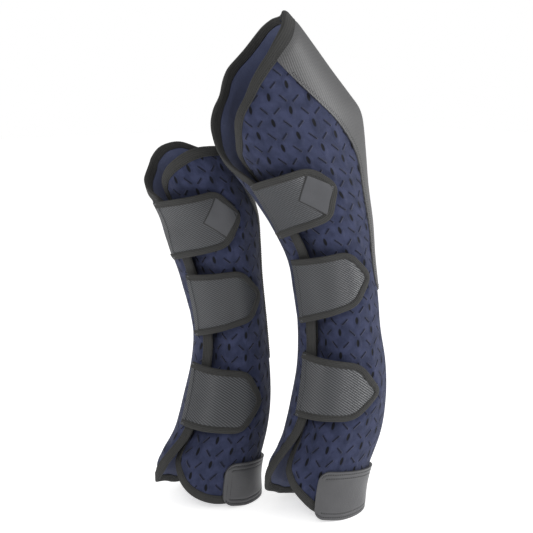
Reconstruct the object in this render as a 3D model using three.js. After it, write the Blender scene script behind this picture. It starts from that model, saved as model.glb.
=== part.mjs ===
// Horse travel boots: one front boot and one hind boot, near side.
// Units are millimetres.  +Z is up, toes point to -Y, the outer (lateral) side faces +X.
import * as THREE from 'three';

// ---------------------------------------------------------------- driving dimensions
const GAP = 0.5; // clearance kept between neighbouring pieces
const TAPE = 1.2; // thickness of the edge binding tape
const WALL = 11.3; // padded wall: cover + foam + lining
const LAP = 17.6; // how far the inner flap stands off the outer flap where they overlap
const TUCK = 12; // how much of that the outer flap gives by tucking in
const PANEL_TAPE_WIDTH = 12.5;
const STRAP_TAPE_WIDTH = 8;

// layers of a padded panel, measured outward from the boot skin
const LAYERS = {
  cover: [-1.5, 0],
  foam: [-9.8, -1.8],
  lining: [-11.3, -10.1],
};
// strap stack, measured outward from the surface the strap lies on
const LOOP = [2.6, 3.1];
const HOOK = [3.4, 4.4];
const STRAP = [4.8, 7.4];

const NAVY = 0x30364f;
const FOAM = 0xd8d2c4;
const LINING = 0x37405f;
const BINDING = 0x3c3c39;
const PU = 0x54565a;
const GREY = 0x777779;
const HOOK_BLACK = 0x1d1d20;

// A station is [height, centre y, half depth, half width] of the oval leg section.
const FRONT = {
  name: 'front',
  at: [-68.35, -40.2],
  stations: [
    [0, -10, 70, 60], [45, -5.5, 69.5, 60], [95, 12, 68, 60], [130, 21, 64, 58], [190, 28, 55, 51],
    [240, 28, 51, 47], [310, 13, 56, 52], [360, 1, 63, 58], [400, -8, 66, 62], [440, -24, 64, 61],
    [495, -52, 57, 54],
  ],
  lapFrom: [60, 105],
  lapTo: [380, 455],
  // outlines run as [turn from the spine in degrees, height]
  outer: {
    bottom: [[0, 4], [60, 4], [104, 5], [130, 10], [155, 24]],
    front: [[155, 24], [174, 46], [184, 66], [187, 110], [187, 260], [186, 380], [183, 432]],
    top: [
      [0, 474], [34, 480], [63, 491], [88, 493], [110, 491], [133, 483], [161, 466], [177, 449],
      [183, 432],
    ],
  },
  inner: {
    bottom: [[0, 4], [60, 4], [108, 9], [137, 20], [160, 28]],
    front: [
      [160, 28], [171, 38], [179, 53], [189, 80], [196, 112], [204, 200], [200, 320], [197, 395],
      [184, 422],
    ],
    top: [[0, 474], [34, 485], [60, 494], [88, 490], [110, 480], [132, 467], [152, 450], [184, 422]],
  },
  back: {
    outerSide: [[18, 186], [38, 196], [40, 250], [40, 350], [48, 390], [58, 420], [63, 445], [66, 470]],
    innerSide: [[18, 186], [38, 196], [40, 250], [40, 350], [48, 390], [58, 420], [63, 445], [66, 470]],
    spineTop: 455,
    rows: 9,
  },
  guard: { outerTurn: 110, innerTurn: 100, height: 49, rise: 13 },
  // strap corners: root top, end top, tip, end bottom, root bottom
  straps: {
    top: [[180, 419], [108, 437], [88, 401], [109, 359], [179, 340]],
    middle: [[168, 321], [98, 326], [68, 290], [92, 253], [175, 232]],
    bottom: [[178, 197], [101, 184], [80, 143], [104, 101], [177, 113]],
  },
};

const HIND = {
  name: 'hind',
  at: [62.65, 33.8],
  stations: [
    [0, -3, 65, 56], [50, 6.5, 69.5, 57], [100, 28.5, 75.5, 57], [140, 39, 72, 56], [200, 44, 64, 53],
    [250, 40, 58, 51], [300, 32, 59, 52], [345, 22.5, 60.5, 54], [390, 7, 71, 58], [440, -18.5, 86.5, 64],
    [485, -37, 100, 67], [525, -52, 110, 68], [542, -58, 109, 67], [560, -66, 99, 65],
    [590, -83, 84, 62], [620, -100, 71, 58], [680, -150, 62, 52],
  ],
  lapFrom: [60, 110],
  lapTo: [425, 492],
  outer: {
    bottom: [[0, 4], [60, 4], [106, 5], [130, 12], [150, 28]],
    front: [[150, 28], [170, 48], [183, 72], [187, 120], [187, 260], [186, 400], [184, 478]],
    top: [
      [0, 657], [25, 663], [55, 659], [84, 642], [114, 618], [140, 584], [156, 548], [172, 508],
      [184, 478],
    ],
  },
  inner: {
    bottom: [[0, 4], [60, 4], [106, 9], [132, 19], [153, 29]],
    front: [
      [153, 29], [164, 41], [172, 58], [182, 88], [196, 137], [195, 250], [203, 345], [198, 420],
      [190, 450],
    ],
    top: [
      [0, 657], [20, 653], [45, 641], [84, 612], [112, 588], [128, 563], [143, 533], [157, 503],
      [170, 477], [190, 450],
    ],
  },
  back: {
    outerSide: [[24, 292], [58, 312], [61, 380], [60, 440], [62, 480], [76, 520], [92, 555], [112, 596]],
    innerSide: [[24, 292], [58, 312], [61, 380], [60, 440], [62, 480], [70, 510], [82, 545], [94, 578]],
    spineTop: 637,
    rows: 12,
  },
  guard: { outerTurn: 131, innerTurn: 104, height: 50, rise: 18 },
  straps: {
    top: [[172, 449], [115, 474], [95, 448], [113, 403], [179, 375]],
    middle: [[177, 347], [106, 360], [78, 324], [104, 284], [178, 260]],
    bottom: [[175, 222], [105, 206], [75, 164], [110, 130], [174, 138]],
  },
};

// ---------------------------------------------------------------- small maths
const clamp01 = (t) => Math.min(1, Math.max(0, t));
const smooth = (x, x0, x1) => {
  const t = clamp01((x - x0) / (x1 - x0));
  return t * t * (3 - 2 * t);
};

// Smooth curve through the stations, one column at a time.
function station(table, column, z) {
  const last = table.length - 1;
  const slope = (i) => {
    const a = table[Math.max(i - 1, 0)];
    const b = table[Math.min(i + 1, last)];
    return (b[column] - a[column]) / (b[0] - a[0]);
  };
  const h = Math.min(Math.max(z, 0), table[last][0]);
  let i = 0;
  while (i < last - 1 && h > table[i + 1][0]) i += 1;
  const span = table[i + 1][0] - table[i][0];
  const t = (h - table[i][0]) / span;
  const p0 = table[i][column];
  const p1 = table[i + 1][column];
  const m0 = slope(i) * span;
  const m1 = slope(i + 1) * span;
  return (2 * t ** 3 - 3 * t ** 2 + 1) * p0 + (t ** 3 - 2 * t ** 2 + t) * m0
    + (3 * t ** 2 - 2 * t ** 3) * p1 + (t ** 3 - t ** 2) * m1;
}

// Point on the boot, "out" mm outside its skin.  turn 0 = spine, 90 = outer side, 180 = front.
function skin(boot, turn, z, out) {
  const a = (turn * Math.PI) / 180;
  const depth = station(boot.stations, 2, z) + out;
  const width = station(boot.stations, 3, z) + out;
  return new THREE.Vector3(
    boot.at[0] + width * Math.sin(a),
    boot.at[1] + station(boot.stations, 1, z) + depth * Math.cos(a),
    z,
  );
}

// Where the two flaps overlap the outer one tucks in and the inner one stands off.
function tuck(boot, z) {
  return smooth(z, boot.lapFrom[0], boot.lapFrom[1]) * (1 - smooth(z, boot.lapTo[0], boot.lapTo[1]));
}
const outerLift = (boot, turn, z) => -TUCK * smooth(turn, 118, 162) * tuck(boot, z);
const innerLift = (boot, turn, z) => (
  smooth(turn, 126, 171) * (LAP - TUCK * tuck(boot, z))
);
// A strap bridges from the inner flap down to the outer flap.
const strapLift = (boot, turn, z) => (
  smooth(turn, 112, 152) * (LAP + 2 - TUCK * tuck(boot, z)) + 3 * smooth(30 - z, 0, 30)
);

// ---------------------------------------------------------------- outlines and grids
function resample(points, count) {
  const scale = 1.1; // mm of girth per degree, near enough for even spacing
  const run = [0];
  for (let i = 1; i < points.length; i += 1) {
    const du = (points[i][0] - points[i - 1][0]) * scale;
    const dz = points[i][1] - points[i - 1][1];
    run.push(run[i - 1] + Math.hypot(du, dz));
  }
  const total = run[run.length - 1];
  const result = [];
  for (let k = 0; k <= count; k += 1) {
    const s = (total * k) / count;
    let i = 1;
    while (i < points.length - 1 && s > run[i]) i += 1;
    const t = (s - run[i - 1]) / (run[i] - run[i - 1]);
    result.push([
      points[i - 1][0] + t * (points[i][0] - points[i - 1][0]),
      points[i - 1][1] + t * (points[i][1] - points[i - 1][1]),
    ]);
  }
  return result;
}

// Move an open outline to its left by "distance" mm, measured on the skin.
function inset(boot, line, distance, flatEnds) {
  return line.map((point, i) => {
    const before = line[Math.max(i - 1, 0)];
    const after = line[Math.min(i + 1, line.length - 1)];
    const perDegree = ((station(boot.stations, 2, point[1]) + station(boot.stations, 3, point[1])) / 2)
      * (Math.PI / 180);
    const du = (after[0] - before[0]) * perDegree;
    const dz = after[1] - before[1];
    const length = Math.hypot(du, dz);
    const end = i === 0 || i === line.length - 1;
    const sideways = end && flatEnds === 'upright' ? 0 : (-dz / length) * distance;
    const upward = end && flatEnds === 'upright' ? Math.sign(du) * distance : (du / length) * distance;
    return [point[0] + sideways / perDegree, point[1] + upward];
  });
}

// Grid between four sides: bottom and top run along u, root and end run along v.
function fill(bottom, top, root, end) {
  const nu = bottom.length - 1;
  const nv = root.length - 1;
  const grid = [];
  for (let i = 0; i <= nu; i += 1) {
    const u = i / nu;
    grid.push([]);
    for (let j = 0; j <= nv; j += 1) {
      const v = j / nv;
      grid[i].push([0, 1].map((c) => (1 - v) * bottom[i][c] + v * top[i][c]
        + (1 - u) * root[j][c] + u * end[j][c]
        - (1 - u) * (1 - v) * bottom[0][c] - u * (1 - v) * bottom[nu][c]
        - (1 - u) * v * top[0][c] - u * v * top[nu][c]));
    }
  }
  return grid;
}

// A sewn shape: an inner grid, plus a border strip of cells along its bottom, end and top.
// "inward" is +1 when the outline runs anticlockwise in (turn, height), -1 when it runs clockwise.
function sewnShape(boot, sides, nu, nv, tapeWidth, flatEnds, inward) {
  const bottom = resample(sides.bottom, nu);
  const end = resample(sides.front, nv);
  const top = resample(sides.top, nu);
  const edge = [...bottom, ...end.slice(1), ...top.slice(0, -1).reverse()];
  const seam = inset(boot, edge, inward * tapeWidth, flatEnds);
  const seamBottom = seam.slice(0, nu + 1);
  const seamEnd = seam.slice(nu, nu + nv + 1);
  const seamTop = seam.slice(nu + nv).reverse();
  const root = resample([seamBottom[0], seamTop[0]], nv);
  return {
    grid: fill(seamBottom, seamTop, root, seamEnd),
    edge,
    seam,
    cloth: inset(boot, edge, inward * (TAPE + 0.6), flatEnds),
    tape: inset(boot, edge, inward * TAPE, flatEnds),
  };
}

// ---------------------------------------------------------------- solids
function solid(triangles, flip) {
  const data = [];
  for (const [a, b, c] of triangles) {
    const order = flip ? [a, c, b] : [a, b, c];
    for (const p of order) data.push(p.x, p.y, p.z);
  }
  const geometry = new THREE.BufferGeometry();
  geometry.setAttribute('position', new THREE.Float32BufferAttribute(data, 3));
  geometry.computeVertexNormals();
  return geometry;
}

function quad(list, a, b, c, d) {
  list.push([a, b, c], [a, c, d]);
}

// Slab over a grid (and its border strip if given) between two heights above the skin.
function slab(place, grid, border, seam, low, high, flip) {
  const triangles = [];
  const upper = (p) => place(p, high);
  const lower = (p) => place(p, low);
  const nu = grid.length - 1;
  const nv = grid[0].length - 1;
  const cell = (a, b, c, d) => {
    quad(triangles, upper(a), upper(b), upper(c), upper(d));
    quad(triangles, lower(a), lower(d), lower(c), lower(b));
  };
  for (let i = 0; i < nu; i += 1) {
    for (let j = 0; j < nv; j += 1) {
      cell(grid[i][j], grid[i + 1][j], grid[i + 1][j + 1], grid[i][j + 1]);
    }
  }
  let rim = [];
  if (border) {
    for (let k = 0; k < border.length - 1; k += 1) {
      cell(border[k], border[k + 1], seam[k + 1], seam[k]);
    }
    rim = [...border];
  } else {
    for (let i = 0; i <= nu; i += 1) rim.push(grid[i][0]);
    for (let j = 1; j <= nv; j += 1) rim.push(grid[nu][j]);
    for (let i = nu - 1; i >= 0; i -= 1) rim.push(grid[i][nv]);
  }
  const start = border ? 0 : 1;
  for (let j = nv - (border ? 0 : 1); j >= start; j -= 1) rim.push(grid[0][j]);
  for (let k = 0; k < rim.length; k += 1) {
    const a = rim[k];
    const b = rim[(k + 1) % rim.length];
    quad(triangles, lower(a), lower(b), upper(b), upper(a));
  }
  return solid(triangles, flip);
}

// Folded tape round the edge of a sewn shape: a U section swept along the outline.
function tapeSolid(place, shape, low, high, flip) {
  const section = (k) => [
    place(shape.seam[k], high + GAP + TAPE),
    place(shape.edge[k], high + GAP + TAPE),
    place(shape.edge[k], low - GAP - TAPE),
    place(shape.seam[k], low - GAP - TAPE),
    place(shape.seam[k], low - GAP),
    place(shape.tape[k], low - GAP),
    place(shape.tape[k], high + GAP),
    place(shape.seam[k], high + GAP),
  ];
  const triangles = [];
  const count = shape.edge.length;
  for (let k = 0; k < count - 1; k += 1) {
    const a = section(k);
    const b = section(k + 1);
    for (let s = 0; s < 8; s += 1) {
      const t = (s + 1) % 8;
      // cut each wall of the channel along the same diagonal as the cloth it folds round
      if (s === 0 || s === 4) quad(triangles, a[t], a[s], b[s], b[t]);
      else quad(triangles, a[s], b[s], b[t], a[t]);
    }
  }
  for (const [k, reverse] of [[0, false], [count - 1, true]]) {
    const p = section(k);
    const caps = [[p[0], p[1], p[6], p[7]], [p[1], p[2], p[5], p[6]], [p[2], p[3], p[4], p[5]]];
    for (const [a, b, c, d] of caps) {
      if (reverse) quad(triangles, d, c, b, a);
      else quad(triangles, a, b, c, d);
    }
  }
  return solid(triangles, flip);
}

const root = new THREE.Group();
function add(name, geometry, color) {
  const mesh = new THREE.Mesh(geometry, new THREE.MeshStandardMaterial({ color }));
  mesh.name = name;
  root.add(mesh);
}

// ---------------------------------------------------------------- the pieces of one boot
function addPanel(boot, side, rows) {
  const sign = side === 'outer' ? 1 : -1;
  const lift = side === 'outer' ? outerLift : innerLift;
  const shape = sewnShape(boot, boot[side], 10, rows, PANEL_TAPE_WIDTH, 'upright', 1);
  // the two halves of the boot meet at the spine with a small seam gap
  const place = ([turn, z], out) => {
    const p = skin(boot, turn, z, out + lift(boot, turn, z));
    const x = p.x - boot.at[0] + GAP * (1 - smooth(turn, 0, 60));
    return new THREE.Vector3(boot.at[0] + sign * x, p.y, p.z);
  };
  const flip = side === 'outer';
  const colors = { cover: NAVY, foam: FOAM, lining: LINING };
  for (const [layer, [low, high]] of Object.entries(LAYERS)) {
    const geometry = slab(place, shape.grid, shape.cloth, shape.seam, low, high, flip);
    add(`${boot.name}_${side}_${layer}`, geometry, colors[layer]);
  }
  const tape = tapeSolid(place, shape, -WALL, 0, !flip);
  add(`${boot.name}_${side}_binding`, tape, BINDING);
}

function addBackPanel(boot) {
  const { outerSide, innerSide, spineTop, rows } = boot.back;
  const right = resample(outerSide, rows);
  const left = resample(innerSide.map(([turn, z]) => [-turn, z]), rows);
  const columns = 10;
  const grid = fill(
    resample([left[0], right[0]], columns),
    resample([left[rows], [0, spineTop], right[rows]], columns),
    left,
    right,
  );
  const place = ([turn, z], out) => skin(boot, turn, z, out);
  add(`${boot.name}_back_panel`, slab(place, grid, null, null, 3.4, 5.0, true), GREY);
}

function addHeelGuard(boot) {
  const { outerTurn, innerTurn, height, rise } = boot.guard;
  const grid = [];
  const columns = 16;
  for (let i = 0; i <= columns; i += 1) {
    const across = (2 * i) / columns - 1;
    const turn = across < 0 ? innerTurn : outerTurn;
    const corner = smooth(Math.abs(across), 0.8, 1); // rounds the guard's front corners
    const low = 17 * corner;
    const high = height + rise * Math.abs(across) - 13 * corner;
    grid.push([0, 0.25, 0.5, 0.8, 1].map((t) => [turn * across, low + t * (high - low)]));
  }
  const lift = (z) => 3.3 + (1 - smooth(z, 0, 30));
  const place = (p, out) => skin(boot, p[0], p[1], out + lift(p[1]));
  add(`${boot.name}_heel_guard`, slab(place, grid, null, null, 0, 3.2, true), GREY);
}

function addStrap(boot, key) {
  const [rootTop, endTop, tip, endBottom, rootBottom] = boot.straps[key];
  const sides = {
    bottom: [rootBottom, endBottom],
    front: [endBottom, tip, endTop],
    top: [rootTop, endTop],
  };
  const shape = sewnShape(boot, sides, 6, 4, STRAP_TAPE_WIDTH, 'along', -1);
  const onStrap = ([turn, z], out) => skin(boot, turn, z, out + strapLift(boot, turn, z));
  const name = `${boot.name}_strap_${key}`;
  add(name, slab(onStrap, shape.grid, shape.cloth, shape.seam, STRAP[0], STRAP[1], false), PU);
  add(`${name}_binding`, tapeSolid(onStrap, shape, STRAP[0], STRAP[1], true), BINDING);
  // hook pad under the strap end, loop patch facing it on the outer flap
  const patch = shape.grid.slice(3, 6).map((column) => column.slice(1, 4));
  const small = fill(
    patch.map((c) => c[0]),
    patch.map((c) => c[2]),
    patch[0],
    patch[2],
  );
  add(`${name}_hook`, slab(onStrap, small, null, null, HOOK[0], HOOK[1], false), HOOK_BLACK);
  const onFlap = ([turn, z], out) => skin(boot, turn, z, out + outerLift(boot, turn, z));
  add(`${name}_loop`, slab(onFlap, small, null, null, LOOP[0], LOOP[1], false), HOOK_BLACK);
}

for (const boot of [FRONT, HIND]) {
  const rows = boot === FRONT ? 10 : 13;
  addPanel(boot, 'outer', rows);
  addPanel(boot, 'inner', rows);
  addBackPanel(boot);
  addHeelGuard(boot);
  for (const key of Object.keys(boot.straps)) addStrap(boot, key);
}

export default root;
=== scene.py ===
"""Horse travel boots: the visual model of one front boot and one hind boot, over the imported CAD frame."""
import math

import bpy
import numpy as np
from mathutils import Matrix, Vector, noise


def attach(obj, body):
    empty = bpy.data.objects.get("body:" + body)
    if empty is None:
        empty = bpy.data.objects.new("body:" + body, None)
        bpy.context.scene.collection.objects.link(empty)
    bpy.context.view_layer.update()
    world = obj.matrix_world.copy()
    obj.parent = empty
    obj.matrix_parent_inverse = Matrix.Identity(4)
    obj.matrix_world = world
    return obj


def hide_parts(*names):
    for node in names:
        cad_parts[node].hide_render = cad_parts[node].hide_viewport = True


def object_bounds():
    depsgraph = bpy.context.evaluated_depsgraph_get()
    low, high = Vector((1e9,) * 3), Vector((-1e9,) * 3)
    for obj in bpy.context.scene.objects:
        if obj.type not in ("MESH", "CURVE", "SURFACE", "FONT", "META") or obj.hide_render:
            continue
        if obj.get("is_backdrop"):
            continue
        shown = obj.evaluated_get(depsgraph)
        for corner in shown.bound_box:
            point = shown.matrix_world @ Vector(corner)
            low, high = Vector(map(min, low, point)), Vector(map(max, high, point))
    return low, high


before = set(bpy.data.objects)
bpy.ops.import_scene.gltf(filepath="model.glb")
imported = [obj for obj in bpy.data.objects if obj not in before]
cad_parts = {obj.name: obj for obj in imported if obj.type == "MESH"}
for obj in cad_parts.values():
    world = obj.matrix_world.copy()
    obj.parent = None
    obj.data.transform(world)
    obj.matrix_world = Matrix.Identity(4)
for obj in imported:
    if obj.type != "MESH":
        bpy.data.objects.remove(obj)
cad_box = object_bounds()

# ------------------------------------------------------------------ driving dimensions, in mm
MM = 0.001
MM_PER_DEGREE = 1.1  # rough girth per degree of turn, where the exact one is not needed

WALL = 11.3  # padded wall, cover face to lining face
COVER_BACK = -5.5  # the hidden faces of cover and lining, inside the wall
LINING_BACK = -5.6
PINCH_REACH = 20  # the wadding is pinched thin this far in from a bound edge
LAP = 17.6  # how far the inner flap stands off the outer flap where they overlap
TUCK = 12  # how much of that the outer flap gives by tucking in

STRAP_TAPE = 8.5
STRAP_LOW = 4.8  # underside of a strap above the surface it lies on
STRAP_HIGH = 7.4
STRAP_ROUNDING = 13  # cut back of a strap's corners
HOOK = (3.4, 4.7)  # under face and upper face of the hook pad, then of the loop patch
LOOP = (-0.9, 1.9)
PATCH_COLUMNS = (24, 40)  # part of the strap grid that the hook pad and the loop patch cover
PATCH_ROWS = (6, 24)

PANEL_TAPE = 12.5
PANEL_CLOTH_INSET = 2.6  # the cloth stops just inside the fold of its tape
STRAP_CLOTH_INSET = 1.6

BACK_THICKNESS = 2.2
BACK_STITCH_INSETS = (3.0, 5.2)
GUARD_CORNER = 13
GUARD_THICKNESS = 3.6
GUARD_GROOVE = 0.9  # depth that the stitching pulls into the guard
GUARD_STITCH_INSETS = (3.4, 8.4)

# pitch and length of the stitches
PANEL_STITCH = (3.6, 2.6)
STRAP_STITCH = (3.2, 2.4)
LEATHER_STITCH = (3.4, 2.5)

LEAF = (2.3, 5.4)  # half width and half length of a leaf-shaped cut
LEAF_DEPTH = 1.1
DASH = (0.8, 5.3, 4.6)  # half width, half length and straight half length of a slanted dash
MOTIF_PITCH = (48.0, 31.0)  # repeat of the embossed pattern across and up the fabric

FLOW_STEPS = 12  # points of a flowing curve for each span of its outline
PANEL_COLUMNS = 140

# A station is height, centre y, half depth, half width of the oval leg section.
FRONT = {
    "name": "front",
    "rows": 200,
    "at": (-68.35, -40.2),
    "stations": [
        (0, -10, 70, 60), (45, -5.5, 69.5, 60), (95, 12, 68, 60), (130, 21, 64, 58), (190, 28, 55, 51),
        (240, 28, 51, 47), (310, 13, 56, 52), (360, 1, 63, 58), (400, -8, 66, 62), (440, -24, 64, 61),
        (495, -52, 57, 54),
    ],
    "lap_from": (60, 105),
    "lap_to": (380, 455),
    # outlines run as (turn from the spine in degrees, height)
    "outer": {
        "bottom": [(0, 4), (60, 4), (104, 5), (130, 10), (155, 24)],
        "front": [(155, 24), (174, 46), (184, 66), (187, 110), (187, 260), (186, 380), (183, 432)],
        "top": [(183, 432), (177, 449), (161, 466), (133, 483), (110, 491), (88, 493), (63, 491), (34, 480),
                (0, 474)],
    },
    "inner": {
        "bottom": [(0, 4), (60, 4), (108, 9), (137, 20), (160, 28)],
        "front": [(160, 28), (171, 38), (179, 53), (189, 80), (196, 112), (204, 200), (200, 320), (197, 395),
                  (184, 422)],
        "top": [(184, 422), (167, 436), (152, 450), (132, 467), (110, 480), (88, 490), (60, 494), (34, 485),
                (0, 474)],
    },
    # the back panel reaches up under the top tape
    "back_outer": [(18, 186), (38, 196), (40, 250), (40, 350), (48, 390), (58, 420), (63, 445), (68, 486)],
    "back_inner": [(18, 186), (38, 196), (40, 250), (40, 350), (48, 390), (58, 420), (63, 445), (68, 486)],
    "back_top": [(68, 486), (34, 476), (0, 468), (-34, 476), (-68, 486)],
    "guard": {"outer_turn": 110, "inner_turn": 100, "height": 49, "rise": 13},
    "patch": [(132, 394), (113, 427), (94, 404), (111, 374)],
    "straps": {
        "top": [(180, 419), (108, 437), (88, 401), (109, 359), (179, 340)],
        "middle": [(168, 321), (98, 326), (68, 290), (92, 253), (175, 232)],
        "bottom": [(178, 197), (101, 184), (80, 143), (104, 101), (177, 113)],
    },
}
HIND = {
    "name": "hind",
    "rows": 270,
    "at": (62.65, 33.8),
    "stations": [
        (0, -3, 65, 56), (50, 6.5, 69.5, 57), (100, 28.5, 75.5, 57), (140, 39, 72, 56), (200, 44, 64, 53),
        (250, 40, 58, 51), (300, 32, 59, 52), (345, 22.5, 60.5, 54), (390, 7, 71, 58), (440, -18.5, 86.5, 64),
        (485, -37, 100, 67), (525, -52, 110, 68), (542, -58, 109, 67), (560, -66, 99, 65),
        (590, -83, 84, 62), (620, -100, 71, 58), (680, -150, 62, 52),
    ],
    "lap_from": (60, 110),
    "lap_to": (425, 492),
    "outer": {
        "bottom": [(0, 4), (60, 4), (106, 5), (130, 12), (150, 28)],
        "front": [(150, 28), (170, 48), (183, 72), (187, 120), (187, 260), (186, 400), (184, 478)],
        "top": [(184, 478), (172, 508), (156, 548), (140, 584), (114, 618), (84, 642), (55, 659), (25, 663),
                (0, 657)],
    },
    "inner": {
        "bottom": [(0, 4), (60, 4), (106, 9), (132, 19), (153, 29)],
        "front": [(153, 29), (164, 41), (172, 58), (182, 88), (196, 137), (195, 250), (203, 345), (198, 420),
                  (190, 450)],
        "top": [(190, 450), (170, 477), (157, 503), (143, 533), (128, 563), (112, 588), (84, 612), (45, 641),
                (20, 653), (0, 657)],
    },
    "back_outer": [(24, 292), (58, 312), (61, 380), (60, 440), (62, 480), (76, 520), (92, 555), (117, 608)],
    "back_inner": [(24, 292), (58, 312), (61, 380), (60, 440), (62, 480), (70, 510), (82, 545), (98, 588)],
    "back_top": [(117, 608), (84, 635), (55, 649), (25, 653), (0, 648), (-20, 641), (-45, 627), (-84, 599),
                 (-98, 588)],
    "guard": {"outer_turn": 131, "inner_turn": 104, "height": 50, "rise": 18},
    "patch": [(135, 430), (120, 462), (101, 447), (117, 410)],
    "straps": {
        "top": [(172, 449), (115, 474), (95, 448), (113, 403), (179, 375)],
        "middle": [(177, 347), (106, 360), (78, 324), (104, 284), (178, 260)],
        "bottom": [(175, 222), (105, 206), (75, 164), (110, 130), (174, 138)],
    },
}


# ------------------------------------------------------------------ camera, light and floor, in metres
LENS = 84.1
CAMERA_PLACE = (1.2697, -1.0697, 0.595)
CAMERA_AIM = (-0.0073, 0.0018, 0.327)
# name, place, aim, size, power
LIGHTS = [
    ("key", (1.6, -1.9, 1.7), (0, 0, 0.3), 1.2, 26),
    ("rim", (1.7, 1.9, 1.0), (0, 0, 0.35), 0.9, 42),
    ("left", (-1.6, -1.2, 1.1), (0, 0, 0.3), 1.2, 8),
]
FLOOR_Z = -0.0006  # just under the boots
FLOOR_REACH = 8


def facing(place, aim):
    """Rotation of a camera or light at one place that looks at another."""
    return (Vector(aim) - Vector(place)).to_track_quat("-Z", "Y").to_euler()


def add_camera():
    data = bpy.data.cameras.new("camera")
    data.lens = LENS
    data.clip_end = 20
    camera = bpy.data.objects.new("camera", data)
    camera.location = CAMERA_PLACE
    camera.rotation_euler = facing(CAMERA_PLACE, CAMERA_AIM)
    bpy.context.collection.objects.link(camera)
    bpy.context.scene.camera = camera


def add_area_light(name, place, aim, size, power):
    data = bpy.data.lights.new(name, "AREA")
    data.size = size
    data.energy = power
    light = bpy.data.objects.new(name, data)
    light.location = place
    light.rotation_euler = facing(place, aim)
    bpy.context.collection.objects.link(light)


def add_studio():
    scene = bpy.context.scene
    scene.view_settings.view_transform = "Standard"
    world = bpy.data.worlds.new("studio")
    world.use_nodes = True
    background = world.node_tree.nodes["Background"]
    background.inputs[0].default_value = (1, 1, 1, 1)
    # the backdrop is pure white to the camera and a softer white as light
    seen = world.node_tree.nodes.new("ShaderNodeLightPath")
    strength = world.node_tree.nodes.new("ShaderNodeMapRange")
    strength.inputs["To Min"].default_value = 0.5
    strength.inputs["To Max"].default_value = 1.0
    world.node_tree.links.new(seen.outputs["Is Camera Ray"], strength.inputs["Value"])
    world.node_tree.links.new(strength.outputs[0], background.inputs[1])
    scene.world = world
    for light in LIGHTS:
        add_area_light(*light)


def add_floor():
    floor_data = bpy.data.meshes.new("floor")
    signs = ((-1, -1), (1, -1), (1, 1), (-1, 1))
    corners = [(x * FLOOR_REACH, y * FLOOR_REACH, FLOOR_Z) for x, y in signs]
    floor_data.from_pydata(corners, [], [(0, 1, 2, 3)])
    floor = bpy.data.objects.new("floor", floor_data)
    bpy.context.collection.objects.link(floor)
    material = bpy.data.materials.new("floor_white")
    material.use_nodes = True
    shader = material.node_tree.nodes["Principled BSDF"]
    shader.inputs["Base Color"].default_value = (0.9, 0.9, 0.9, 1)
    shader.inputs["Roughness"].default_value = 0.9
    shader.inputs["Emission Color"].default_value = (1, 1, 1, 1)
    shader.inputs["Emission Strength"].default_value = 0.6
    floor_data.materials.append(material)
    floor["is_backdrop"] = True


# ------------------------------------------------------------------ materials
def linear(rgb):
    """Scene colour of a display colour given as 0 to 255."""
    return tuple(((c / 255 + 0.055) / 1.055) ** 2.4 for c in rgb) + (1,)


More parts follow.
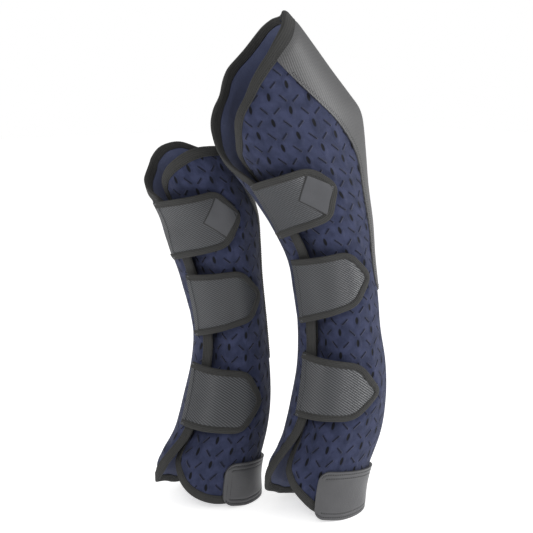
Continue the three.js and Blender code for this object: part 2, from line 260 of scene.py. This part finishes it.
class Nodes:
    """A few short words for building a procedural material on the UV map, which is in millimetres."""

    def __init__(self, name, roughness, sheen=0.0, coat=0.0, specular=0.2):
        self.material = bpy.data.materials.new(name)
        self.material.use_nodes = True
        self.tree = self.material.node_tree
        self.shader = self.tree.nodes["Principled BSDF"]
        self.shader.inputs["Roughness"].default_value = roughness
        self.shader.inputs["Specular IOR Level"].default_value = specular
        self.shader.inputs["Sheen Weight"].default_value = sheen
        self.shader.inputs["Sheen Roughness"].default_value = 0.5
        self.shader.inputs["Coat Weight"].default_value = coat
        self.shader.inputs["Coat Roughness"].default_value = 0.35
        self.uv = self.tree.nodes.new("ShaderNodeUVMap").outputs[0]

    def new(self, kind, **settings):
        node = self.tree.nodes.new(kind)
        for key, value in settings.items():
            setattr(node, key, value)
        return node

    def put(self, socket, value):
        if isinstance(value, bpy.types.NodeSocket):
            self.tree.links.new(value, socket)
        else:
            socket.default_value = value

    def math(self, operation, a, b=0.0, c=0.0):
        node = self.new("ShaderNodeMath", operation=operation)
        for socket, value in zip(node.inputs, (a, b, c)):
            self.put(socket, value)
        return node.outputs[0]

    def vector(self, operation, a, b=(0, 0, 0), c=(0, 0, 0)):
        node = self.new("ShaderNodeVectorMath", operation=operation)
        for socket, value in zip(node.inputs, (a, b, c)):
            self.put(socket, value)
        return node.outputs["Value" if operation == "LENGTH" else "Vector"]

    def rotated(self, vector, degrees):
        node = self.new("ShaderNodeVectorRotate", rotation_type="Z_AXIS")
        self.put(node.inputs["Vector"], vector)
        node.inputs["Angle"].default_value = math.radians(degrees)
        return node.outputs[0]

    def noise(self, vector, scale, detail=2.0):
        node = self.new("ShaderNodeTexNoise")
        self.put(node.inputs["Vector"], vector)
        node.inputs["Scale"].default_value = scale
        node.inputs["Detail"].default_value = detail
        return node.outputs["Fac"]

    def ribs(self, vector, pitch):
        """0 to 1 wave along x of the vector, one rib every pitch millimetres."""
        x = self.new("ShaderNodeSeparateXYZ")
        self.put(x.inputs[0], vector)
        phase = self.math("MULTIPLY", x.outputs[0], 2 * math.pi / pitch)
        return self.math("MULTIPLY_ADD", self.math("SINE", phase), 0.5, 0.5)

    def ramp(self, value, start, end):
        """Smooth step from 0 at start to 1 at end; start may be the larger one."""
        node = self.new("ShaderNodeMapRange", interpolation_type="SMOOTHSTEP")
        self.put(node.inputs["Value"], value)
        node.inputs["From Min"].default_value = start
        node.inputs["From Max"].default_value = end
        return node.outputs[0]

    def mix(self, factor, a, b):
        node = self.new("ShaderNodeMix", data_type="RGBA")
        self.put(node.inputs["Factor"], factor)
        self.put(node.inputs["A"], a)
        self.put(node.inputs["B"], b)
        return node.outputs["Result"]

    def finish(self, color, heights):
        """heights is a list of (0 to 1 height, depth in metres), stacked as bumps."""
        self.put(self.shader.inputs["Base Color"], color)
        normal = None
        for height, depth in heights:
            bump = self.new("ShaderNodeBump")
            bump.inputs["Strength"].default_value = 1.0
            bump.inputs["Distance"].default_value = depth
            self.put(bump.inputs["Height"], height)
            if normal is not None:
                self.put(bump.inputs["Normal"], normal)
            normal = bump.outputs[0]
        self.put(self.shader.inputs["Normal"], normal)
        return self.material


def embossed_fabric():
    """Navy knit, with painted shade on the floor of the leaf-shaped cuts and in a pair of slanted dashes
    between them.
    """
    n = Nodes("navy_embossed", 0.85, sheen=0.06)
    width, height = MOTIF_PITCH
    # centre x, centre y, tilt, half width, half length, straight part of the half length
    motifs = [(0, 0, 0, *LEAF, 0), (-7.5, 14.5, 45, *DASH), (7.5, 14.5, -45, *DASH)]
    nearest = {"leaf": 9.0, "dash": 9.0}
    for shift_x, shift_y in ((0, 0), (width / 2, height / 2)):
        for x, y, tilt, half_width, half_length, straight in motifs:
            moved = n.vector("SUBTRACT", n.uv, (x + shift_x, y + shift_y, 0))
            wrapped = n.vector("WRAP", moved, (width / 2, height / 2, 1), (-width / 2, -height / 2, -1))
            folded = n.vector("ABSOLUTE", n.rotated(wrapped, -tilt))
            past_end = n.vector("SUBTRACT", folded, (0, straight, 0))
            capped = n.vector("MAXIMUM", past_end, (0, 0, 0))
            scaled = n.vector("MULTIPLY", capped, (1 / half_width, 1 / (half_length - straight), 0))
            kind = "dash" if straight else "leaf"
            nearest[kind] = n.math("MINIMUM", n.vector("LENGTH", scaled), nearest[kind])
    leaf = n.ramp(nearest["leaf"], 1.12, 0.72)
    dash = n.ramp(nearest["dash"], 1.3, 0.6)
    halo = n.ramp(n.math("MINIMUM", nearest["leaf"], nearest["dash"]), 0.5, 2.6)
    knit = n.math("MULTIPLY", n.ribs(n.uv, 1.3), n.ribs(n.rotated(n.uv, 90), 1.3))
    cloud = n.noise(n.uv, 0.07, 5)
    plain = n.mix(n.ramp(cloud, 0.3, 0.7), linear((34, 39, 61)), linear((49, 54, 80)))
    weave = n.mix(n.math("MULTIPLY", knit, 0.35), plain, linear((62, 68, 94)))
    # the cuts and the dashes are painted dark: painted shade on the floors of the pressed hollows
    color = n.mix(leaf, n.mix(dash, weave, linear((18, 21, 36))), linear((7, 9, 16)))
    return n.finish(color, [(halo, 0.0016), (knit, 0.00022)])


def ribbed_pu(name, tilt, pitch, dark, light, roughness, depth):
    """Synthetic leather pressed with fine ribs, with painted highlights on their crests and painted shade in
    their grooves.
    """
    n = Nodes(name, roughness, coat=0.12, specular=0.4)
    turned = n.rotated(n.uv, tilt)
    ribs = n.ribs(turned, pitch)
    breaks = n.ribs(n.rotated(turned, 90), pitch * 1.3)
    pattern = n.math("MULTIPLY_ADD", breaks, 0.14, n.math("MULTIPLY", ribs, 0.86))
    highlight_mottle = n.noise(n.uv, 0.03, 4)
    # the rib crests take the light colour and the grooves the dark one: painted highlights and painted shade
    # on the ribs, the highlights mottled at random
    lit = n.mix(highlight_mottle, linear(light), linear([c * 0.9 for c in light]))
    color = n.mix(pattern, linear(dark), lit)
    return n.finish(color, [(pattern, depth), (n.noise(n.uv, 1.2, 3), 0.00008)])


def grained_pu(name, dark, light):
    """Plain synthetic leather with a fine pebble grain."""
    n = Nodes(name, 0.48, coat=0.08, specular=0.35)
    grain = n.new("ShaderNodeTexVoronoi")
    n.put(grain.inputs["Vector"], n.uv)
    grain.inputs["Scale"].default_value = 0.9
    color = n.mix(n.noise(n.uv, 0.04, 5), linear(dark), linear(light))
    return n.finish(color, [(grain.outputs["Distance"], 0.00016), (n.noise(n.uv, 0.08, 3), 0.0005)])


def woven_tape():
    """Dark binding, ribbed across and along."""
    n = Nodes("binding_tape", 0.8, sheen=0.04)
    cross = n.ribs(n.uv, 1.5)
    along = n.ribs(n.rotated(n.uv, 90), 2.2)
    weave = n.math("MULTIPLY_ADD", along, 0.35, n.math("MULTIPLY", cross, 0.65))
    color = n.mix(weave, linear((34, 34, 34)), linear((62, 62, 61)))
    return n.finish(color, [(weave, 0.0005), (n.noise(n.uv, 0.5, 2), 0.0003)])


def smooth_lining():
    """Plain fine knit, paler than the cover."""
    n = Nodes("lining", 0.75, sheen=0.08)
    knit = n.math("MULTIPLY", n.ribs(n.uv, 0.9), n.ribs(n.rotated(n.uv, 90), 1.1))
    color = n.mix(n.noise(n.uv, 0.03, 3), linear((64, 70, 96)), linear((78, 84, 110)))
    return n.finish(color, [(knit, 0.00012), (n.noise(n.uv, 0.05, 3), 0.001)])


def pile(name, shade, scale, depth):
    """Hooks or loops, as dots of one size."""
    n = Nodes(name, 0.9, sheen=0.3)
    dots = n.noise(n.uv, scale, 2)
    color = n.mix(dots, linear((shade, shade, shade + 2)), linear((shade + 26, shade + 26, shade + 30)))
    return n.finish(color, [(dots, depth)])


def thread():
    """Dark twisted sewing thread."""
    n = Nodes("thread", 0.7)
    twist = n.ribs(n.rotated(n.uv, 40), 0.8)
    return n.finish(n.mix(twist, linear((22, 22, 23)), linear((46, 46, 48))), [(twist, 0.0001)])


# ------------------------------------------------------------------ shape of the boots
def smooth(x, low, high):
    t = np.clip((np.asarray(x, float) - low) / (high - low), 0, 1)
    return t * t * (3 - 2 * t)


def station(boot, column, z):
    """Smooth curve through one column of the stations."""
    table = np.array(boot["stations"], float)
    heights, values = table[:, 0], table[:, column]
    slopes = np.empty(len(values))
    slopes[1:-1] = (values[2:] - values[:-2]) / (heights[2:] - heights[:-2])
    slopes[0] = (values[1] - values[0]) / (heights[1] - heights[0])
    slopes[-1] = (values[-1] - values[-2]) / (heights[-1] - heights[-2])
    z = np.clip(z, heights[0], heights[-1])
    i = np.clip(np.searchsorted(heights, z, side="right") - 1, 0, len(values) - 2)
    span = heights[i + 1] - heights[i]
    t = (z - heights[i]) / span
    return (
        (2 * t**3 - 3 * t**2 + 1) * values[i]
        + (t**3 - 2 * t**2 + t) * slopes[i] * span
        + (3 * t**2 - 2 * t**3) * values[i + 1]
        + (t**3 - t**2) * slopes[i + 1] * span
    )


def skin(boot, turn, z, out):
    """Points of the boot, out mm outside its skin.  turn 0 = spine, 90 = outer side, 180 = front."""
    turn = np.asarray(turn, float)
    angle = np.radians(turn)
    depth = station(boot, 2, z) + out
    width = station(boot, 3, z) + out
    x = boot["at"][0] + width * np.sin(angle)
    y = boot["at"][1] + station(boot, 1, z) + depth * np.cos(angle)
    return np.stack([x, y, z + 0 * x], -1)


def girth(boot, z):
    """Millimetres of girth per degree of turn."""
    return (station(boot, 2, z) + station(boot, 3, z)) / 2 * math.pi / 180


def tuck(boot, z):
    """0 to 1 share of the overlap at a height: none at the flared bottom and top."""
    return smooth(z, *boot["lap_from"]) * (1 - smooth(z, *boot["lap_to"]))


def outer_lift(boot, turn, z):
    return -TUCK * smooth(turn, 118, 162) * tuck(boot, z)


def inner_lift(boot, turn, z):
    return smooth(turn, 126, 171) * (LAP - TUCK * tuck(boot, z))


def strap_lift(boot, turn, z):
    return smooth(turn, 112, 152) * (LAP + 2 - TUCK * tuck(boot, z))


def panel_place(boot, side):
    """Function from (turn, z, out) to points on the outer or inner panel."""

    def place(turn, z, out):
        lift = (outer_lift if side == "outer" else inner_lift)(boot, turn, z)
        points = skin(boot, turn, z, out + lift)
        points[..., 0] += 0.4 * (1 - smooth(turn, 0, 60))
        if side == "inner":
            points[..., 0] = 2 * boot["at"][0] - points[..., 0]
        return points

    return place


def strap_place(boot):
    return lambda turn, z, out: skin(boot, turn, z, out + strap_lift(boot, turn, z))


def plain_place(boot):
    return lambda turn, z, out: skin(boot, turn, z, out)


# ------------------------------------------------------------------ outlines
def arc_resample(line, count):
    """The same open line with count equal steps."""
    line = np.asarray(line, float)
    step = np.diff(line, axis=0) * (MM_PER_DEGREE, 1.0)
    run = np.concatenate([[0], np.cumsum(np.hypot(step[:, 0], step[:, 1]))])
    wanted = np.linspace(0, run[-1], count + 1)
    return np.stack([np.interp(wanted, run, line[:, c]) for c in (0, 1)], -1)


def flowing(points):
    """Catmull-Rom curve through the points."""
    p = np.asarray(points, float)
    padded = np.concatenate([[2 * p[0] - p[1]], p, [2 * p[-1] - p[-2]]])
    t = np.linspace(0, 1, FLOW_STEPS, endpoint=False)[:, None]
    pieces = []
    for a, b, c, d in zip(padded, padded[1:], padded[2:], padded[3:]):
        pieces.append(b + 0.5 * t * (c - a + t * (2 * a - 5 * b + 4 * c - d + t * (3 * (b - c) + d - a))))
    return np.concatenate(pieces + [p[-1:]])


def rounded(points, radius, steps=8):
    """The polyline with each inner corner cut back by radius and rounded."""
    p = [np.array(q, float) for q in points]
    result = [p[0]]
    for before, corner, after in zip(p, p[1:], p[2:]):
        start = corner + (before - corner) * min(0.45, radius / np.linalg.norm(before - corner))
        end = corner + (after - corner) * min(0.45, radius / np.linalg.norm(after - corner))
        for t in np.linspace(0, 1, steps):
            result.append((1 - t) ** 2 * start + 2 * t * (1 - t) * corner + t * t * end)
    return np.array(result + [p[-1]])


def cloth_uv(boot, turn, z):
    """Flat cloth coordinates in mm."""
    return (turn - 130) * girth(boot, z), z


def fill(bottom, top, root, end):
    """Grid between four sides: bottom and top run along u, root and end run along v."""
    u = np.linspace(0, 1, len(bottom))[:, None, None]
    v = np.linspace(0, 1, len(root))[None, :, None]
    corners = (
        (1 - u) * (1 - v) * bottom[0] + u * (1 - v) * bottom[-1] + (1 - u) * v * top[0] + u * v * top[-1]
    )
    return (1 - v) * bottom[:, None] + v * top[:, None] + (1 - u) * root[None] + u * end[None] - corners


def inward(boot, line, sense):
    """Unit inward direction at each point of an outline, as (degrees, mm) per mm."""
    per_degree = girth(boot, line[:, 1])
    ahead = np.gradient(line, axis=0)
    du, dz = ahead[:, 0] * per_degree, ahead[:, 1]
    length = np.hypot(du, dz)
    return np.stack([-sense * dz / length / per_degree, sense * du / length], -1)


def grown(grid, share):
    """The same grid spread out from its middle."""
    middle = grid.mean((0, 1))
    return middle + (grid - middle) * (1 + share)


def edge_distance(boot, grid, line):
    """Distance in mm of every grid point from the outline, and how far along it the nearest point is."""
    per_degree = girth(boot, grid[..., 1])
    step = np.diff(line, axis=0) * np.stack([girth(boot, line[1:, 1]), np.ones(len(line) - 1)], -1)
    run = np.concatenate([[0], np.cumsum(np.hypot(step[:, 0], step[:, 1]))])
    nearest = np.full(grid.shape[:2], 1e9)
    along = np.zeros(grid.shape[:2])
    for (turn, z), s in zip(line, run):
        distance = np.hypot((grid[..., 0] - turn) * per_degree, grid[..., 1] - z)
        along = np.where(distance < nearest, s, along)
        nearest = np.minimum(distance, nearest)
    return nearest, along


def cut_depth(boot, grid):
    """0 to 1 depth of the leaf-shaped cuts pressed into the cover, on the same repeat as its material."""
    x, y = cloth_uv(boot, grid[..., 0], grid[..., 1])
    width, height = MOTIF_PITCH
    depth = 0 * x
    for shift_x, shift_y in ((0, 0), (width / 2, height / 2)):
        dx = (x - shift_x + width / 2) % width - width / 2
        dy = (y - shift_y + height / 2) % height - height / 2
        depth = np.maximum(depth, 1 - smooth(np.hypot(dx / LEAF[0], dy / LEAF[1]), 0.5, 1.5))
    return depth


def padding(boot, side, grid, edge):
    """Distance from the bound edge, and the height in mm that the wadding and sewing give the cover."""
    distance, along = edge_distance(boot, grid, edge)
    seed = 3.0 * (side == "outer")
    slow = np.array([
        [noise.noise(Vector((turn * 0.035, z * 0.016, seed))) for turn, z in column]
        for column in grid
    ])
    # the tape gathers the cloth into small puckers that die out away from it
    beat = np.sin(along / 3.7 + 1.8 * np.sin(along / 31))
    puckers = 0.55 * beat * smooth(distance, 9, 15) * (1 - smooth(distance, 20, 44))
    swell = 1.3 * slow * smooth(distance, 4, 30)
    # the straps squeeze the wadding, so it swells in folds just outside their edges
    if side == "outer":
        for corners in boot["straps"].values():
            outline = arc_resample(corners, 120)
            beside, at = edge_distance(boot, grid, outline)
            fold = 1.1 + 0.6 * np.sin(at / 6.5 + 1.3 * np.sin(at / 23))
            ridge = smooth(beside, 3, 10) * (1 - smooth(beside, 10, 30))
            swell = swell + fold * ridge * smooth(distance, 12, 24)
    return distance, swell + puckers


# ------------------------------------------------------------------ meshes
def new_mesh(name, points, faces, uv, material):
    """points in mm (n, 3); uv in mm (n, 2)."""
    data = bpy.data.meshes.new(name)
    data.from_pydata((np.asarray(points) * MM).tolist(), [], faces)
    layer = data.uv_layers.new(name="UVMap")
    loops = np.empty(len(data.loops), int)
    data.loops.foreach_get("vertex_index", loops)
    layer.data.foreach_set("uv", np.asarray(uv, np.float32)[loops].ravel())
    data.polygons.foreach_set("use_smooth", [True] * len(data.polygons))
    data.materials.append(material)
    piece = bpy.data.objects.new(name, data)
    bpy.context.collection.objects.link(piece)
    return piece


def grid_faces(rows, columns, start=0, flip=False):
    """Four-sided faces between the points of a grid whose first point is number start."""
    faces = []
    for i in range(rows - 1):
        for j in range(columns - 1):
            a = start + i * columns + j
            b, c, d = a + columns, a + columns + 1, a + 1
            faces.append((d, c, b, a) if flip else (a, b, c, d))
    return faces


def slab(name, place, boot, grid, low, high, material, flip=False, bevel=0.0):
    """Closed sheet over a grid of (turn, z), from low to high mm above the surface."""
    rows, columns = grid.shape[:2]
    turn, z = grid[..., 0], grid[..., 1]
    upper = place(turn, z, high + 0 * turn).reshape(-1, 3)
    lower = place(turn, z, low + 0 * turn).reshape(-1, 3)
    faces = grid_faces(rows, columns, 0, flip) + grid_faces(rows, columns, rows * columns, not flip)
    index = np.arange(rows * columns).reshape(rows, columns)
    rim = np.concatenate([index[:, 0], index[-1, 1:], index[-2::-1, -1], index[0, -2:0:-1]]).tolist()
    under = rows * columns
    for a, b in zip(rim, rim[1:] + rim[:1]):
        wall = (a, a + under, b + under, b)
        faces.append(wall[::-1] if flip else wall)
    uv = np.stack(cloth_uv(boot, turn, z), -1).reshape(-1, 2)
    piece = new_mesh(name, np.concatenate([upper, lower]), faces, np.concatenate([uv, uv]), material)
    if bevel:
        modifier = piece.modifiers.new("round", "BEVEL")
        modifier.width = bevel * MM
        modifier.segments = 3
        modifier.limit_method = "ANGLE"
        modifier.angle_limit = math.radians(50)
        piece.modifiers.new("shade", "WEIGHTED_NORMAL").keep_sharp = True
    return piece


def tape(name, place, boot, line, sense, width, outer, inner, material, flip=False):
    """Tape folded round an outline.  outer and inner give the cloth faces' height at a distance."""
    direction = inward(boot, line, sense)
    high, low = float(outer(0.0)), float(inner(0.0))
    middle, half = (high + low) / 2, (high - low) / 2 + 1.0
    section = [(width + 0.1, float(outer(width)) - 0.4), (width, float(outer(width)) + 0.7)]
    section += [(d, float(outer(d)) + 1.25) for d in (width - 1.2, width * 0.6, width * 0.35)]
    for angle in np.linspace(80, -80, 9):
        bulge = math.cos(math.radians(angle))
        section.append((2.2 * (1 - bulge), middle + half * math.sin(math.radians(angle))))
    narrow = width * 0.72
    section += [(d, float(inner(d)) - 1.25) for d in (narrow * 0.35, narrow * 0.6, narrow - 1.2)]
    section += [(narrow, float(inner(narrow)) - 0.7), (narrow + 0.1, float(inner(narrow)) + 0.4)]
    step = np.linalg.norm(np.diff(place(line[:, 0], line[:, 1], 0 * line[:, 0]), axis=0), axis=1)
    run = np.concatenate([[0], np.cumsum(step)])
    points, uv = [], []
    across = 0.0
    for k, (inset, out) in enumerate(section):
        # the woven tape puckers slightly along its length
        ripple = 0.14 * np.sin(run / 5.1 + k) * (0 < k < len(section) - 1)
        spot = line + direction * inset
        points.append(place(spot[:, 0], spot[:, 1], out + ripple))
        if k:
            across += math.hypot(inset - section[k - 1][0], out - section[k - 1][1])
        uv.append(np.stack([run, np.full(len(run), across)], -1))
    faces = grid_faces(len(section), len(line), 0, flip)
    return new_mesh(name, np.concatenate(points), faces, np.concatenate(uv), material)


def stitches(name, place, line, height, pitch, length, material):
    """A row of small raised stitches along a line of (turn, z)."""
    track = place(line[:, 0], line[:, 1], height + 0 * line[:, 0])
    above = place(line[:, 0], line[:, 1], height + 1 + 0 * line[:, 0])
    step = np.linalg.norm(np.diff(track, axis=0), axis=1)
    run = np.concatenate([[0], np.cumsum(step)])
    count = int(run[-1] / pitch)
    middle = (np.arange(count) + 0.5) * run[-1] / count

    def at(values, s):
        return np.stack([np.interp(s, run, values[:, c]) for c in range(3)], -1)

    centre = at(track, middle)
    normal = at(above, middle) - centre
    normal /= np.linalg.norm(normal, axis=1)[:, None]
    ahead = at(track, middle + length / 2) - at(track, middle - length / 2)
    ahead /= np.linalg.norm(ahead, axis=1)[:, None]
    side = np.cross(normal, ahead)
    corners = [
        centre - ahead * length / 2, centre + ahead * length / 2,
        centre - side * 0.5 + normal * 0.1, centre + side * 0.5 + normal * 0.1, centre + normal * 0.5,
    ]
    points = np.stack(corners, 1).reshape(-1, 3)
    faces = []
    for i in range(count):
        a, b, c, d, e = (5 * i + k for k in range(5))
        faces += [(a, c, e), (c, b, e), (b, d, e), (d, a, e)]
    uv = np.stack([np.repeat(middle, 5), np.tile(np.arange(5.0), count)], -1)
    return new_mesh(name, points, faces, uv, material)


# ------------------------------------------------------------------ the pieces
add_camera()
add_studio()
add_floor()
navy = embossed_fabric()
lining_cloth = smooth_lining()
binding = woven_tape()
strap_pu = ribbed_pu("strap_pu", 52, 2.6, (18, 19, 21), (76, 78, 82), 0.4, 0.0005)
back_pu = ribbed_pu("back_pu", 8, 3.1, (54, 54, 55), (80, 80, 81), 0.55, 0.00022)
guard_pu = grained_pu("guard_pu", (66, 66, 68), (80, 80, 82))
patch_pu = grained_pu("patch_pu", (56, 57, 60), (68, 69, 73))
# dark ring round the patch: painted shade standing in for the groove that borders it
groove_shade_pu = grained_pu("groove_shade_pu", (20, 20, 21), (30, 30, 31))
hook_pile = pile("hook_tape", 14, 1.6, 0.0005)
loop_pile = pile("loop_tape", 20, 0.7, 0.0007)
stitch_thread = thread()


def wall_high(distance):
    """Outer face of the padded wall: it is pinched in near the bound edge."""
    return -2.2 * (1 - smooth(distance, 0, PINCH_REACH))


def wall_low(distance):
    """Lining face of the padded wall, pinched the same way."""
    return -WALL + 5.2 * (1 - smooth(distance, 0, PINCH_REACH))


def add_panel(boot, side):
    """One padded half: cover, lining, folded tape and the row of stitching through it."""
    rows = boot["rows"]
    body = f"{boot['name']}_boot"
    name = f"{boot['name']}_{side}"
    place = panel_place(boot, side)
    outline = boot[side]
    joined = outline["bottom"] + outline["front"][1:] + outline["top"][1:]
    flow = flowing(joined)
    edge = arc_resample(flow, 420)
    flow = flow + inward(boot, flow, 1) * PANEL_CLOTH_INSET
    flow[[0, -1], 0] = 0
    first = FLOW_STEPS * (len(outline["bottom"]) - 1)
    second = first + FLOW_STEPS * (len(outline["front"]) - 1)
    bottom = arc_resample(flow[: first + 1], PANEL_COLUMNS)
    end = arc_resample(flow[first : second + 1], rows)
    top = arc_resample(flow[second:], PANEL_COLUMNS)[::-1]
    root = arc_resample([bottom[0], top[0]], rows)
    grid = fill(bottom, top, root, end)
    distance, relief = padding(boot, side, grid, edge)
    high = wall_high(distance) + relief - 0.4 - LEAF_DEPTH * cut_depth(boot, grid)
    flip = side == "inner"
    cover = slab(f"{name}_cover_cloth", place, boot, grid, COVER_BACK, high, navy, flip)
    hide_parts(f"{name}_cover", f"{name}_foam")
    # the lining is smooth, so it needs only every other row and column
    inside = slab(f"{name}_lining_cloth", place, boot, grid[::2, ::2], wall_low(distance)[::2, ::2],
                  LINING_BACK, lining_cloth, flip)
    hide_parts(f"{name}_lining")
    band = tape(f"{name}_binding_tape", place, boot, edge, 1, PANEL_TAPE, wall_high, wall_low, binding,
                not flip)
    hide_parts(f"{name}_binding")
    row = edge + inward(boot, edge, 1) * (PANEL_TAPE - 2.2)
    height = float(wall_high(PANEL_TAPE - 2)) + 1.2
    seam = stitches(f"{name}_binding_stitches", place, row[2:-2], height, *PANEL_STITCH, stitch_thread)
    for piece in (cover, inside, band, seam):
        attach(piece, body)


def add_back_panel(boot):
    """The leather panel over the spine seam, with two rows of stitching down each side."""
    rows = boot["rows"] // 3
    body = f"{boot['name']}_boot"
    outer = arc_resample(flowing(boot["back_outer"]), rows)
    inner = arc_resample(flowing(boot["back_inner"]), rows) * (-1, 1)
    top = arc_resample(flowing(boot["back_top"]), 60)[::-1]
    bottom = arc_resample([inner[0], outer[0]], 60)
    grid = fill(bottom, top, inner, outer)
    # it lies on the cloth and dips under the tape along the boot's top edge
    edge = np.concatenate([flowing(boot["outer"]["top"]), flowing(boot["inner"]["top"]) * (-1, 1)])
    distance = edge_distance(boot, grid, edge)[0]
    high = wall_high(distance) + 0.2 + 1.5 * smooth(distance, 8, 14)
    place = plain_place(boot)
    panel = slab(f"{boot['name']}_back_pu", place, boot, grid, high - BACK_THICKNESS, high, back_pu, False,
                 bevel=0.8)
    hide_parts(f"{boot['name']}_back_panel")
    pieces = [panel]
    for side, sense, label in ((outer, 1, "outer"), (inner, -1, "inner")):
        for inset in BACK_STITCH_INSETS:
            row = arc_resample(side, 200)
            row = (row + inward(boot, row, sense) * inset)[6:-14]
            seam = stitches(f"{boot['name']}_back_stitches_{label}_{inset:.0f}", place, row, 1.65,
                            *LEATHER_STITCH, stitch_thread)
            pieces.append(seam)
    for piece in pieces:
        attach(piece, body)


def add_heel_guard(boot):
    """The leather guard round the bottom, with rounded front corners and two rows of stitching."""
    body = f"{boot['name']}_boot"
    guard_shape = boot["guard"]
    height, rise = guard_shape["height"], guard_shape["rise"]
    across = np.sin(np.linspace(-math.pi / 2, math.pi / 2, 281))

    def turn(a):
        return np.where(a < 0, guard_shape["inner_turn"], guard_shape["outer_turn"])

    def corner(a):
        """How far the rounded front corners cut in, for a at -1 to 1 across the guard."""
        from_end = (1 - np.abs(a)) * turn(a) * 1.15
        t = np.clip((GUARD_CORNER - from_end) / GUARD_CORNER, 0, 1)
        return GUARD_CORNER * (1 - np.sqrt(1 - t**2))

    def low(a):
        return 5 * smooth(np.abs(a), 0.7, 1) + corner(a)

    def high(a):
        return height + rise * np.abs(a) - corner(a)

    def rim(inset):
        """Closed outline of the guard, inset by so many mm."""
        a = np.linspace(-1, 1, 400) * (1 - inset / (guard_shape["outer_turn"] * MM_PER_DEGREE))
        top = np.stack([turn(a) * a, high(a) - inset], -1)
        base = np.stack([turn(a) * a, low(a) + inset], -1)
        return np.concatenate([top, base[::-1], top[:1]])

    up = np.linspace(0, 1, 49)
    z = low(across)[:, None] + up * (high(across) - low(across))[:, None]
    grid = np.stack([(turn(across) * across)[:, None] + 0 * z, z], -1)

    def place(t, z, out):
        return skin(boot, t, z, out + 1.2 + 1.6 * (1 - smooth(z, 0, 30)))

    wave = 0.25 * np.sin(grid[..., 0] * 0.11) * np.sin(np.pi * up)[None, :]
    # two rows of stitching pull narrow grooves into the face
    rows = [rim(inset) for inset in GUARD_STITCH_INSETS]
    groove = sum(1 - smooth(edge_distance(boot, grid, row)[0], 0.3, 1.7) for row in rows)
    face = GUARD_THICKNESS + wave - GUARD_GROOVE * groove
    guard = slab(f"{boot['name']}_guard_pu", place, boot, grid, -0.2, face, guard_pu, False, bevel=1.3)
    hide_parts(f"{boot['name']}_heel_guard")
    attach(guard, body)
    for k, row in enumerate(rows):
        seam = stitches(f"{boot['name']}_guard_stitches_{k}", place, row, 3.1, *LEATHER_STITCH, stitch_thread)
        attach(seam, body)


def add_strap(boot, key):
    """One strap with its tape, stitching, hem and hook pad, and the loop patch it closes on."""
    strap_body = f"{boot['name']}_{key}_strap"
    boot_body = f"{boot['name']}_boot"
    name = f"{boot['name']}_strap_{key}"
    place = strap_place(boot)
    root_top, end_top, tip, end_bottom, root_bottom = boot["straps"][key]
    outline = arc_resample(rounded([root_bottom, end_bottom, tip, end_top, root_top], STRAP_ROUNDING), 400)
    cloth = outline + inward(boot, outline, -1) * STRAP_CLOTH_INSET
    first, second = (
        int(np.hypot((cloth[:, 0] - turn) * MM_PER_DEGREE, cloth[:, 1] - z).argmin())
        for turn, z in (end_bottom, end_top)
    )
    bottom = arc_resample(cloth[: first + 1], 44)
    end = arc_resample(cloth[first : second + 1], 30)
    top = arc_resample(cloth[second:], 44)[::-1]
    root = arc_resample([bottom[0], top[0]], 30)
    grid = fill(bottom, top, root, end)
    distance = edge_distance(boot, grid, outline)[0]
    sunk = 0.7 * (1 - smooth(distance, 0, 16))
    face = slab(f"{name}_face", place, boot, grid, STRAP_LOW, STRAP_HIGH - sunk, strap_pu, True)
    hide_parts(name)
    band = tape(f"{name}_edge_tape", place, boot, outline, -1, STRAP_TAPE,
                lambda d: STRAP_HIGH - 0.7 + 0.04 * d, lambda d: STRAP_LOW, binding, False)
    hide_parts(f"{name}_binding")
    row = outline + inward(boot, outline, -1) * (STRAP_TAPE - 1.8)
    seam = stitches(f"{name}_edge_stitches", place, row[4:-4], STRAP_HIGH + 0.75, *STRAP_STITCH,
                    stitch_thread)
    # folded hem sewn down along the root
    hem_grid = fill(
        arc_resample([grid[0, 0], grid[3, 0]], 6), arc_resample([grid[0, -1], grid[3, -1]], 6),
        grid[0], grid[3],
    )
    hem = slab(f"{name}_root_hem", place, boot, hem_grid, STRAP_HIGH - 0.6, STRAP_HIGH + 0.6, strap_pu, True,
               bevel=0.4)
    pieces = [face, band, seam, hem]
    if key == "top":
        left, upper, right, lower = boot["patch"]
        label = fill(
            arc_resample([left, lower], 16), arc_resample([upper, right], 16),
            arc_resample([left, upper], 16), arc_resample([lower, right], 16),
        )
        plate = slab(f"{name}_patch", place, boot, label, STRAP_HIGH - 0.5, STRAP_HIGH + 0.9, patch_pu, True,
                     bevel=0.6)
        # a thin dark ring just outside the patch, painted shade for the groove round it
        rim = slab(f"{name}_patch_shade_ring", place, boot, grown(label, 0.09), STRAP_HIGH - 0.6, STRAP_HIGH + 0.3,
                   groove_shade_pu, True, bevel=0.4)
        pieces += [plate, rim]
    (left, right), (low, high) = PATCH_COLUMNS, PATCH_ROWS
    patch = grid[left : right + 1, low : high + 1]
    patch = fill(patch[:, 0], patch[:, -1], patch[0], patch[-1])
    hook = slab(f"{name}_hook_pad", place, boot, patch, *HOOK, hook_pile, True, bevel=0.3)
    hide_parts(f"{name}_hook")
    pieces.append(hook)
    loop = slab(f"{name}_loop_patch", panel_place(boot, "outer"), boot, patch, *LOOP, loop_pile, True,
                bevel=0.4)
    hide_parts(f"{name}_loop")
    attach(loop, boot_body)
    for piece in pieces:
        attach(piece, strap_body)


for boot in (FRONT, HIND):
    add_panel(boot, "outer")
    add_panel(boot, "inner")
    add_back_panel(boot)
    add_heel_guard(boot)
    for key in boot["straps"]:
        add_strap(boot, key)

corners = {"cad": cad_box, "visual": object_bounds()}
{k: [[float(c) for c in corner] for corner in box] for k, box in corners.items()}
